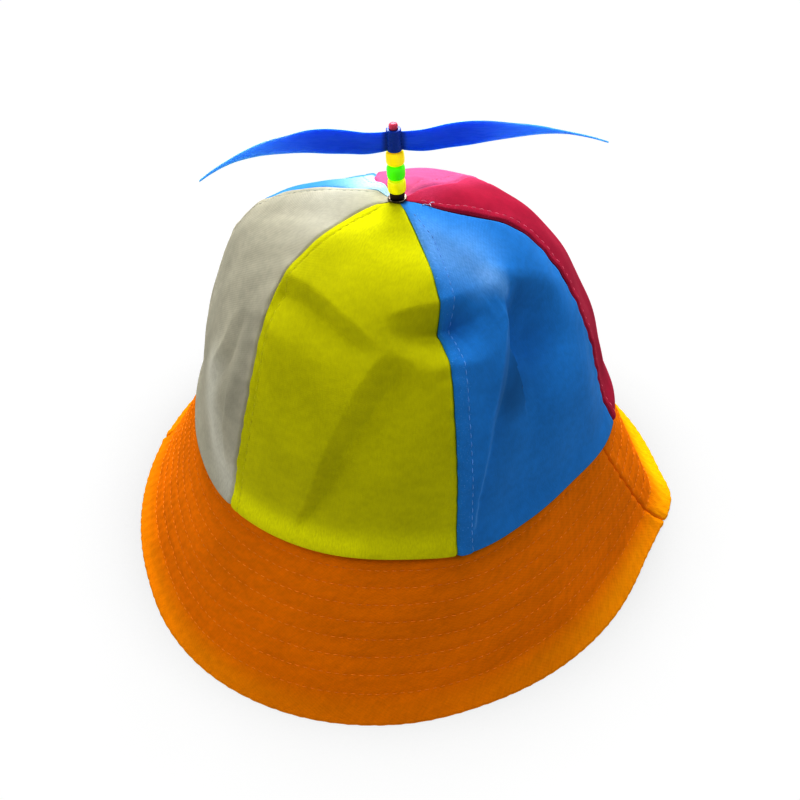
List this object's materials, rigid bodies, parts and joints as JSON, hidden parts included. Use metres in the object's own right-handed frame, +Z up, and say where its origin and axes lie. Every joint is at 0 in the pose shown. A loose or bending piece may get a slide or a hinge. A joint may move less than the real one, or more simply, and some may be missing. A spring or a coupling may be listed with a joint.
{
  "type": "propeller cap",
  "caption": "Soft bucket-shaped costume cap with a crown of coloured gores, a full stitched brim, and a beaded mast on top that carries a spinning propeller.",
  "frame": {"origin": "centre of the bounding box on the surface that the brim rests on", "axes": "+Z up the crown, +Y from the cap's front to its back, +X to the right seen from the front"},
  "size_m": [0.2304, 0.256, 0.1798],
  "materials": {
    "cloth_yellow": "cotton twill",
    "cloth_blue": "cotton twill",
    "cloth_rose": "cotton twill",
    "cloth_pink": "cotton twill",
    "cloth_sky": "cotton twill",
    "cloth_grey": "cotton twill",
    "cloth_orange": "stitched cotton twill",
    "eyelet_metal": "pressed metal",
    "bush_plastic": "dark moulded",
    "bead_plastic_yellow": "moulded",
    "bead_plastic_green": "moulded",
    "bead_plastic_orange": "moulded",
    "pin_plastic": "moulded",
    "propeller_plastic": "moulded"
  },
  "bodies": {
    "cap": {"crown_yellow": "cloth_yellow", "crown_blue": "cloth_blue", "crown_rose": "cloth_rose", "crown_pink": "cloth_pink", "crown_sky": "cloth_sky", "crown_grey": "cloth_grey", "brim_back": "cloth_orange", "brim_front": "cloth_orange", "eyelet": "eyelet_metal", "base_bush": "bush_plastic", "bead_yellow": "bead_plastic_yellow", "bead_green": "bead_plastic_green", "bead_orange": "bead_plastic_orange", "mast_pin": "pin_plastic"},
    "propeller": {"propeller": "propeller_plastic"}
  },
  "joints": [
    {"name": "propeller_spin", "type": "hinge", "parent": "cap", "child": "propeller", "pos_m": [-0.00535, 0.00032, 0.17247], "axis": [-0.0506, 0, 0.9987], "continuous": true}
  ]
}
